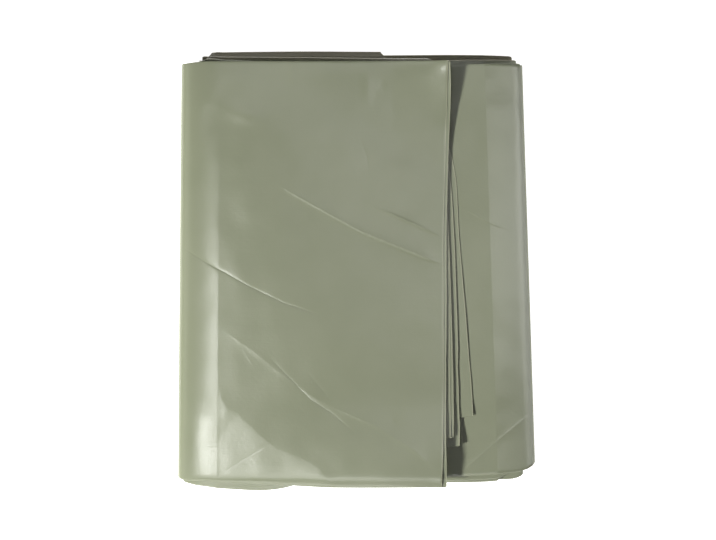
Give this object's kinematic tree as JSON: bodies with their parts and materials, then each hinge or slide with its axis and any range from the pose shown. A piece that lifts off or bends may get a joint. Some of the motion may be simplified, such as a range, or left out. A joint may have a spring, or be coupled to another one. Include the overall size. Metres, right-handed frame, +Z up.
{
  "type": "folded plastic sheeting",
  "caption": "Length of semi-gloss plastic film folded back and forth, then folded like a letter into a flat rectangular pack.",
  "frame": {"origin": "centre of the pack's bounding box in plan, on the surface that it lies on", "axes": "+X from the rolled left rim towards the right rim, past the flap's fanned edge; +Y along the pack towards the end where the inner folds stick out; +Z up"},
  "size_m": [0.3002, 0.3644, 0.0415],
  "materials": {
    "polythene_film": "semi-gloss, slightly translucent film, olive grey-green"
  },
  "bodies": {
    "root": {"folded_sheeting": "polythene_film"}
  },
  "joints": []
}
